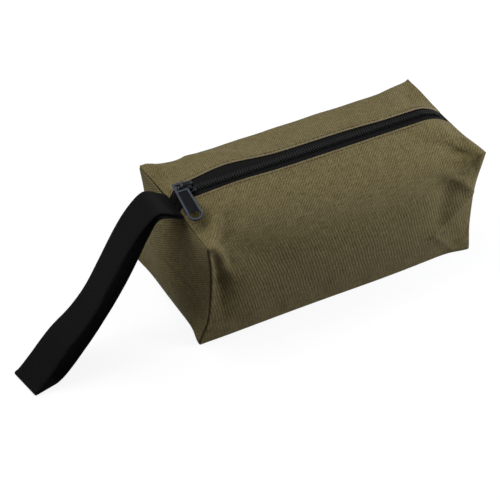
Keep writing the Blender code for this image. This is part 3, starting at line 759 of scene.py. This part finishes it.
# End panels: two rectangles of the same cloth, sewn to the body panel all round.  The left one is
# pressed in under the strap and has a slack crease towards its near edge.
END_X = SEAM_X + SEAM_RADIUS
END_CROWN = 6 * MM
END_OFF_GRAIN = math.radians(10.4)
END_PANEL_STEPS = 64
LEFT_FOLDS = (
    ((-8, 2), (-16, 36), (9, 12), (6.5, 2.5)),
    ((20, 50), (-32, 51), (3.5, 3.5), (1.0, 2.0)),
    ((28, 46), (-34, 46), (3, 3), (-0.6, -1.0)),
    ((-40, 64), (-34, 86), (10, 10), (2.5, 1.5)),
    ((22, 20), (10, 70), (14, 14), (-1.0, -0.8)),
)
RIGHT_FOLDS = (
    ((8, 6), (2, 70), (9, 12), (3.5, 1.0)),
    ((15, 50), (42, 60), (5, 5), (1.4, 0.8)),
    ((-20, 30), (-44, 14), (6, 5), (2.0, 1.2)),
)


def panel_axis(half):
    """Places along one side of a panel, with a quarter circle at each end, and their depths."""
    flat = (half - 2 * SEAM_RADIUS) * np.linspace(-1, 1, END_PANEL_STEPS + 1)
    turn = np.linspace(0, math.pi / 2, SEAM_STEPS + 1)[1:]
    over = half - 2 * SEAM_RADIUS + SEAM_RADIUS * np.sin(turn)
    deep = SEAM_RADIUS * (1 - np.cos(turn))
    depth = np.concatenate([deep[::-1], np.zeros(len(flat)), deep])
    return np.concatenate([-over[::-1], flat, over]), depth


def make_end_cloth(name, node, end, folds):
    """A crowned rectangle: its bulge is a product of two parabolas, less the pull of its seams."""
    y, y_depth = panel_axis(HALF_WIDTH)
    z, z_depth = panel_axis(PANEL_HEIGHT / 2)
    across, up = np.meshgrid(y / HALF_WIDTH, 2 * z / PANEL_HEIGHT, indexing="ij")
    inward = np.maximum(y_depth[:, None], z_depth)
    y, z = across * HALF_WIDTH, (1 + up) * PANEL_HEIGHT / 2
    edge = np.minimum(HALF_WIDTH - np.abs(y), PANEL_HEIGHT / 2 * (1 - np.abs(up)))
    depth = fold_depth(y, PANEL_HEIGHT - z, folds) * (1 - bell(edge, 0, FOLD_FADE))
    crown = END_CROWN * (1 - across ** 2) * (1 - up ** 2)
    out = END_X - seam_pull(end, across, up) + crown - inward - depth
    points = shape_corners(np.stack([end * out, y, z], axis=2))
    points[..., 2] = np.maximum(points[..., 2], 0)
    cos, sin = math.cos(END_OFF_GRAIN), math.sin(END_OFF_GRAIN)
    cloth = np.stack([y * cos + z * sin, z * cos - y * sin], axis=2)
    if end > 0:
        points, cloth = points[::-1], cloth[::-1]
    piece = surface_object(name, points, cloth, OLIVE_OXFORD)
    shape = points.shape[:2]
    from_seam = np.minimum(border_steps(shape[0])[:, None], border_steps(shape[1]))
    # The lines at each seam get painted shade.
    mark_points(piece, shape, "painted seam shade", from_seam < PAINTED_SHADE_STEPS)
    add_thickness(piece, CLOTH_THICKNESS)
    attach(piece, "pouch")
    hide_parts(node)
    return piece


end_cloths = (make_end_cloth("end_cloth_left", "end_panel_left", -1, LEFT_FOLDS),
              make_end_cloth("end_cloth_right", "end_panel_right", 1, RIGHT_FOLDS))
make_body_cloth()


# Zip tapes: black woven polyester tape, one on each side of the zip, sewn under the cloth's hem.  They
# follow the roof a little below the cloth and end under it.
TAPE_THICKNESS = 0.5 * MM
TAPE_TOP_BELOW_CLOTH = 1.36 * MM
TAPE_INNER_EDGE = 0.3 * MM
TAPE_TUCK = 3.6 * MM
TAPE_COLUMNS = 240
TAPE_ROWS = 16
# Yarns of the tape in a metre along and across it.
TAPE_YARNS_PER_METRE = (500, 1600, 1)


def tape_weave(add):
    """Black polyester tape in a fine herringbone: nearly even, with faint lengthwise lines."""
    flat = add("UVMap", uv_map="flat material")
    scaled = add("VectorMath", {0: flat, 1: TAPE_YARNS_PER_METRE}, operation="MULTIPLY")
    yarn = add("TexNoise", {"Vector": scaled, "Scale": 1.0, "Detail": 2.0}, noise_dimensions="2D")
    ramp = add("ValToRGB", {0: yarn}, ((0.3, "#080808"), (0.75, "#151413")))
    bump = add("Bump", {"Height": yarn, "Strength": 0.4, "Distance": 0.2 * MM})
    return add("BsdfPrincipled", {"Base Color": ramp, "Roughness": 0.75,
                                  "Specular IOR Level": 0.06, "Normal": bump})


BLACK_TAPE = new_material("black polyester zip tape, woven", tape_weave)


def make_tape(name, node, side):
    """A strip that lies under the cloth's line, from beside the zip's middle to under the hem."""
    x = np.linspace(-SEAM_X, SEAM_X, TAPE_COLUMNS)[:, None]
    width = fold_line(x, side) + TAPE_TUCK - TAPE_INNER_EDGE
    y = side * (TAPE_INNER_EDGE + width * np.linspace(0, 1, TAPE_ROWS))
    z = top_height(x, y) - TAPE_TOP_BELOW_CLOTH
    points = np.stack(np.broadcast_arrays(x, y, z), axis=2)
    cloth = points[..., :2].copy()
    if side > 0:
        points, cloth = points[::-1], cloth[::-1]
    piece = surface_object(name, points, cloth, BLACK_TAPE)
    add_thickness(piece, TAPE_THICKNESS)
    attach(piece, "pouch")
    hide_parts(node)


make_tape("tape_near", "zip_tape_near", -1)
make_tape("tape_far", "zip_tape_far", 1)


# Zip coils: black nylon monofilament wound into two flattened helices, whose turns lie between each
# other's over the middle of the zip.  The real turns are 1.3 mm apart, too fine to show, so they are
# drawn wider apart.
COIL_PITCH = 1.95 * MM
COIL_OUTER = 3.2 * MM
COIL_REACH = 0.7 * MM
COIL_WIRE = 0.36 * MM
COIL_BASE = CROWN - 1.2 * MM
COIL_TOP = COIL_BASE + 1.6 * MM
COIL_TURN_POINTS = 14
COIL_SIDES = 6
COIL_SQUARENESS = 0.65
# A direction that no tube runs along, to turn its rings by.
TUBE_AXIS = (0.35, 0.1, 1)


def drawn_nylon(add):
    """Nylon drawn as monofilament: deep black with a soft sheen along each turn."""
    place = add("TexCoord")
    grain = add("TexNoise", {"Vector": place.outputs["Object"], "Scale": 900.0})
    ramp = add("ValToRGB", {0: grain}, ((0.3, "#040505"), (0.7, "#08090B")))
    return add("BsdfPrincipled", {"Base Color": ramp, "Roughness": 0.33, "IOR": 1.53,
                                  "Specular IOR Level": 0.12})


BLACK_NYLON = new_material("black nylon monofilament, drawn", drawn_nylon)


def tube_grid(line, radius, sides):
    """A round tube along a line: rings square to the line, turned by the same axis all along."""
    ahead = unit(np.gradient(line, axis=0))
    across = unit(np.cross(ahead, TUBE_AXIS))
    above = np.cross(across, ahead)
    angle = np.linspace(0, 2 * math.pi, sides, endpoint=False)[:, None]
    ring = np.cos(angle) * across[:, None] + np.sin(angle) * above[:, None]
    return line[:, None] + radius * ring


def tube_faces(rings, sides):
    """Quads round a tube, and a cap at each end."""
    first, last = np.arange(sides), np.arange(sides) + (rings - 1) * sides
    return grid_quads(rings, sides, (1,)).tolist() + [first[::-1].tolist(), last.tolist()]


def turn_outwards(mesh):
    work = bmesh.new()
    work.from_mesh(mesh)
    bmesh.ops.recalc_face_normals(work, faces=work.faces)
    work.to_mesh(mesh)
    work.free()


def plain_object(name, points, faces, material):
    """A smooth mesh with no flat layout, whose faces are turned outwards."""
    mesh = bpy.data.meshes.new(name)
    mesh.from_pydata(points.reshape(-1, 3).tolist(), [], faces)
    turn_outwards(mesh)
    mesh.shade_smooth()
    mesh.materials.append(material)
    return add_object(name, mesh)


def make_coil(name, node, side):
    """A helix whose rings are squarish ovals, from over the middle to the coil's outer edge."""
    low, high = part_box(node)
    turns = int((high.x - low.x) / COIL_PITCH)
    angle = np.linspace(0, 2 * math.pi * turns, turns * COIL_TURN_POINTS + 1)
    half_width = (COIL_OUTER + COIL_REACH) / 2 - COIL_WIRE
    half_height = (COIL_TOP - COIL_BASE) / 2 - COIL_WIRE
    across, up = (np.sign(wave) * np.abs(wave) ** COIL_SQUARENESS
                  for wave in (np.cos(angle), np.sin(angle)))
    y = (COIL_OUTER - COIL_REACH) / 2 - half_width * across
    z = (COIL_TOP + COIL_BASE) / 2 + half_height * up
    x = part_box("zip_coil_near")[0].x + COIL_PITCH * (angle / (2 * math.pi) + (side > 0) / 2)
    z = z + top_height(x, np.zeros_like(x)) - CROWN
    line = np.stack([x, side * y, z], axis=1)
    points = tube_grid(line, COIL_WIRE, COIL_SIDES)
    piece = plain_object(name, points, tube_faces(len(line), COIL_SIDES), BLACK_NYLON)
    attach(piece, "pouch")
    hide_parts(node)


make_coil("coil_near", "zip_coil_near", -1)
make_coil("coil_far", "zip_coil_far", 1)


# Slider and pull tab: die-cast zinc with a glossy black enamel, with a painted highlight in a lighter
# grey on the rounded edges and on the tab's rim.  They are the solids with their edges rounded, as the
# enamel leaves them.
# The rounded edges get the second material, the lighter enamel with the painted highlight.
EDGE_ROUNDING = {
    "width": 0.4 * MM, "segments": 3, "limit_method": "ANGLE", "angle_limit": math.radians(35),
    "harden_normals": True, "material": 1,
}
MERGE_DISTANCE = 0.01 * MM
FLAT_WITHIN = math.radians(4)
# The way the tab's face points, and how far below its highest faces a face still counts as rim.
TAB_TILT = math.radians(17)
TAB_FACING = np.array((0, -math.sin(TAB_TILT), math.cos(TAB_TILT)))
RIM_DEPTH = 0.2 * MM
RIM_FACING = 0.9
ENAMEL_TINT = (0.86, 0.92, 1.0, 1.0)


def stoved_enamel(add, dark, light, gloss):
    """Stoved enamel over zinc: even, glossy, with a slight unevenness in the coat."""
    place = add("TexCoord")
    coat = add("TexNoise", {"Vector": place.outputs["Object"], "Scale": 260.0, "Detail": 1.0})
    rough = add("MapRange", {"Value": coat, "To Min": 0.1, "To Max": 0.2})
    bump = add("Bump", {"Height": coat, "Strength": 0.12, "Distance": 0.3 * MM})
    ramp = add("ValToRGB", {0: coat}, ((0, dark), (1, light)))
    return add("BsdfPrincipled", {"Base Color": ramp, "Roughness": rough, "IOR": 1.55,
                                  "Specular IOR Level": gloss, "Specular Tint": ENAMEL_TINT,
                                  "Normal": bump})


BLACK_ENAMEL = new_material("black enamel on die-cast zinc",
                            lambda add: stoved_enamel(add, "#050608", "#0B0C11", 0.12))
# The second enamel is lighter: a painted highlight on the rounded edges and the tab's rim.
PAINTED_HIGHLIGHT_ENAMEL = new_material("black enamel on die-cast zinc, painted edge highlights",
                             lambda add: stoved_enamel(add, "#12151A", "#39424E", 0.45))


def paint_rim_highlight(mesh):
    """Gives the tab's raised rim the lighter enamel, a painted highlight.

    The rim is the faces that point along TAB_FACING and lie highest along it, within RIM_DEPTH.
    """
    heights = np.array([face.center for face in mesh.polygons]) @ TAB_FACING
    facing = np.array([face.normal for face in mesh.polygons]) @ TAB_FACING
    rim = (facing > RIM_FACING) & (heights > heights.max() - RIM_DEPTH)
    mesh.polygons.foreach_set("material_index", rim.astype(np.int32))


def round_casting(name, node, body):
    """A copy of a solid, merged into clean faces and bevelled along its edges."""
    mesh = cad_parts[node].data.copy()
    mesh.name = name
    work = bmesh.new()
    work.from_mesh(mesh)
    bmesh.ops.remove_doubles(work, verts=work.verts, dist=MERGE_DISTANCE)
    bmesh.ops.dissolve_limit(work, angle_limit=FLAT_WITHIN, verts=work.verts, edges=work.edges)
    work.to_mesh(mesh)
    work.free()
    mesh.materials.clear()
    mesh.materials.append(BLACK_ENAMEL)
    mesh.materials.append(PAINTED_HIGHLIGHT_ENAMEL)
    if node == "pull_tab":
        paint_rim_highlight(mesh)
    mesh.shade_smooth()
    piece = add_object(name, mesh)
    # The bevel's faces take the second material, the painted highlight.
    apply_settings(piece.modifiers.new("rounded edges", "BEVEL"), EDGE_ROUNDING)
    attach(piece, body)
    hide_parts(node)


round_casting("slider_casting", "slider_body", "slider")
round_casting("slider_lower_casting", "slider_lower_plate", "slider")
round_casting("tab_casting", "pull_tab", "pull_tab")


# Wrist strap: a length of black 25 mm webbing folded in two, with both ends sewn into the left end's
# top seam.  It rises from the seam, turns over and comes down to the floor.
STRAP_WIDTH = 25.4 * MM
STRAP_THICKNESS = 1.3 * MM
STRAP_ROOT = (-115.35 * MM, 91.65 * MM)
STRAP_REACH = 127 * MM
STRAP_ROOT_RADIUS = 0.75 * MM
STRAP_FOLD_RADIUS = 1.3 * MM
# Angles, in degrees, between which the webbing turns back at its root and at its fold.
STRAP_ROOT_TURN = (318, 138)
STRAP_FOLD_TURN = (50, -90)
STRAP_DRIFT = 27 * MM
STRAP_SIDE_STEP = 1.0 * MM
STRAP_STEPS_PER_SPAN = 10
STRAP_ROOT_STEPS = 6
STRAP_FOLD_STEPS = 10
STRAP_EDGE_STEPS = 5
STRAP_FACE_STEPS = 12
# The upper layer's line, from the root out, and the under layer's, from the fold back: how far out,
# in shares of the reach, and how high, in shares of the root's height.
UPPER_LAYER_SHARES = (
    (0.115, 1.13), (0.18, 1.155), (0.27, 1.075), (0.355, 0.94), (0.47, 0.70),
    (0.56, 0.515), (0.66, 0.385), (0.77, 0.285), (0.88, 0.14), (0.96, 0.045),
)
UNDER_LAYER_SHARES = (
    (0.845, 0.003), (0.735, 0.085), (0.605, 0.235), (0.48, 0.425),
    (0.375, 0.625), (0.295, 0.81), (0.228, 0.975), (0.15, 1.095),
)
# The turn of the webbing about the upright, in degrees, at shares of its reach.
STRAP_TURNS = ((0, 0), (0.25, -2), (0.5, -7), (0.65, -5), (0.85, 8), (1, 9))
STRAP_RIB_PER_METRE = 850
YARN_HEIGHT = 0.25


def webbing(add):
    """Black polypropylene webbing: crosswise ribs of thick weft, broken by the warp yarns."""
    flat = add("UVMap", uv_map="flat material")
    place = add("SeparateXYZ", {0: flat})
    rib = sine_wave(add, place.outputs["Y"], STRAP_RIB_PER_METRE)
    yarn = sine_wave(add, place.outputs["X"], STRAP_RIB_PER_METRE / 2)
    weave = add("Math", {0: rib, 1: yarn}, operation="MULTIPLY")
    fuzz = add("TexNoise", {"Vector": flat, "Scale": 900.0, "Detail": 3.0}, noise_dimensions="2D")
    height = add("Math", {0: weave, 1: YARN_HEIGHT, 2: fuzz}, operation="MULTIPLY_ADD")
    ramp = add("ValToRGB", {0: height}, ((0.2, "#0A0A0A"), (0.85, "#191919")))
    bump = add("Bump", {"Height": height, "Strength": 0.5, "Distance": 0.3 * MM})
    return add("BsdfPrincipled", {"Base Color": ramp, "Roughness": 0.85,
                                  "Specular IOR Level": 0.05, "Normal": bump})


BLACK_WEBBING = new_material("black polypropylene webbing, woven", webbing)


def smooth_curve(points, steps):
    """A Catmull-Rom curve: between two points, a cubic whose slopes come from their neighbours."""
    padded = np.concatenate([[2 * points[0] - points[1]], points, [2 * points[-1] - points[-2]]])
    a, b, c, d = (padded[i:len(padded) - 3 + i, None] for i in range(4))
    t = np.linspace(0, 1, steps, endpoint=False)[:, None]
    curve = 0.5 * (2 * b + (c - a) * t + (2 * a - 5 * b + 4 * c - d) * t ** 2
                   + (3 * b - a - 3 * c + d) * t ** 3)
    return np.concatenate([curve.reshape(-1, points.shape[1]), points[-1:]])


def turn_points(centre, radius, turn, steps):
    angle = np.radians(np.linspace(*turn, steps + 1))
    return np.array(centre) + radius * np.stack([np.cos(angle), np.sin(angle)], axis=1)


def strap_line():
    """The webbing's closed middle line, as distance out from its root and height."""
    floor = STRAP_THICKNESS / 2
    root_height = STRAP_ROOT[1]
    scale = np.array([STRAP_REACH, root_height - floor])
    lift = np.array([0, floor])
    root = turn_points((0, root_height), STRAP_ROOT_RADIUS, STRAP_ROOT_TURN, STRAP_ROOT_STEPS)
    fold_centre = (STRAP_REACH - STRAP_FOLD_RADIUS - floor, floor + STRAP_FOLD_RADIUS)
    fold = turn_points(fold_centre, STRAP_FOLD_RADIUS, STRAP_FOLD_TURN, STRAP_FOLD_STEPS)
    upper, under = (
        smooth_curve(np.concatenate([before[-1:], shares * scale + lift, after[:1]]),
                     STRAP_STEPS_PER_SPAN)
        for before, shares, after in ((root, UPPER_LAYER_SHARES, fold),
                                      (fold, UNDER_LAYER_SHARES, root)))
    line = np.concatenate([upper, fold[1:], under[1:], root[1:-1]])
    line[:, 1] = np.maximum(line[:, 1], floor)
    return line


def strap_section():
    """The webbing's section, round edged: place across the width and height above its middle."""
    radius = STRAP_THICKNESS / 2
    flat = (STRAP_WIDTH / 2 - radius) * np.linspace(-1, 1, STRAP_FACE_STEPS + 1)
    turn = np.linspace(0, math.pi, STRAP_EDGE_STEPS + 1)[1:-1]
    edge_across = STRAP_WIDTH / 2 - radius + radius * np.sin(turn)
    edge_height = radius * np.cos(turn)
    across = np.concatenate([flat, edge_across, flat[::-1], -edge_across])
    height = np.concatenate([np.full(len(flat), radius), edge_height,
                             np.full(len(flat), -radius), -edge_height])
    return across, height


def make_strap():
    """The section carried along the closed line, turned about the upright as the strap twists."""
    line = strap_line()
    ahead = unit(np.roll(line, -1, axis=0) - np.roll(line, 1, axis=0))
    square = np.stack([-ahead[:, 1], ahead[:, 0]], axis=1)
    across, height = strap_section()
    out, z = (line[:, axis, None] + square[:, axis, None] * height for axis in (0, 1))
    share = np.clip(out / STRAP_REACH, 0, 1)
    turn = np.radians(np.interp(share, *np.transpose(STRAP_TURNS)))
    x = STRAP_ROOT[0] - out - across * np.sin(turn)
    y = -STRAP_SIDE_STEP - STRAP_DRIFT * share + across * np.cos(turn)
    points = np.stack([x, y, z], axis=2)
    run = running_length(line)
    cloth = np.stack(np.broadcast_arrays(across, run[:, None]), axis=2)
    piece = surface_object("strap_webbing", points, cloth, BLACK_WEBBING, closed=(0, 1))
    turn_outwards(piece.data)
    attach(piece, "strap")
    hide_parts("wrist_strap")


make_strap()


# Stitches: brown polyester thread, a row along each hem of the zip that sews the hem down on the tape.
# Each stitch is a short arched tube with its ends in the cloth.
STITCH_LENGTH = 2.9 * MM
STITCH_GAP = 0.7 * MM
STITCH_RADIUS = 0.24 * MM
STITCH_FROM_FOLD = 2.2 * MM
STITCH_ROW_END = 2 * MM
# How high a stitch's middle stands over its ends, and how deep its ends sink, in radii.
STITCH_ARCH = 1.6
STITCH_SINK = 0.9
STITCH_POINTS = 7
STITCH_SIDES = 6


def thread(add):
    """Spun polyester sewing thread: matt, with the twist of its plies."""
    place = add("TexCoord")
    twist = add("TexNoise", {"Vector": place.outputs["Object"], "Scale": 1500.0})
    ramp = add("ValToRGB", {0: twist}, ((0.3, "#2C2119"), (0.7, "#4B3A2A")))
    return add("BsdfPrincipled", {"Base Color": ramp, "Roughness": 0.7, "Specular IOR Level": 0.3})


BROWN_THREAD = new_material("brown polyester thread, spun", thread)


def make_stitches(name, line):
    """One tube for each stitch along a line, arched as half a sine wave."""
    run = running_length(line)
    count = int(run[-1] / (STITCH_LENGTH + STITCH_GAP))
    starts = np.arange(count) * (STITCH_LENGTH + STITCH_GAP)
    share = np.linspace(0, 1, STITCH_POINTS)
    places = starts[:, None] + STITCH_LENGTH * share
    centre = np.stack([np.interp(places, run, line[:, k]) for k in range(3)], axis=2)
    centre[..., 2] += STITCH_RADIUS * (STITCH_ARCH * np.sin(math.pi * share) - STITCH_SINK)
    points = np.array([tube_grid(stitch, STITCH_RADIUS, STITCH_SIDES) for stitch in centre])
    faces = [[corner + number * STITCH_POINTS * STITCH_SIDES for corner in face]
             for number in range(count) for face in tube_faces(STITCH_POINTS, STITCH_SIDES)]
    piece = plain_object(name, points, faces, BROWN_THREAD)
    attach(piece, "pouch")


def stitch_line(side):
    x = (SEAM_X - STITCH_ROW_END) * np.linspace(-1, 1, BODY_COLUMNS)
    y = side * (fold_line(x, side) + STITCH_FROM_FOLD)
    return np.stack([x, y, top_height(x, y)], axis=1)


make_stitches("stitches_near", stitch_line(-1))
make_stitches("stitches_far", stitch_line(1))
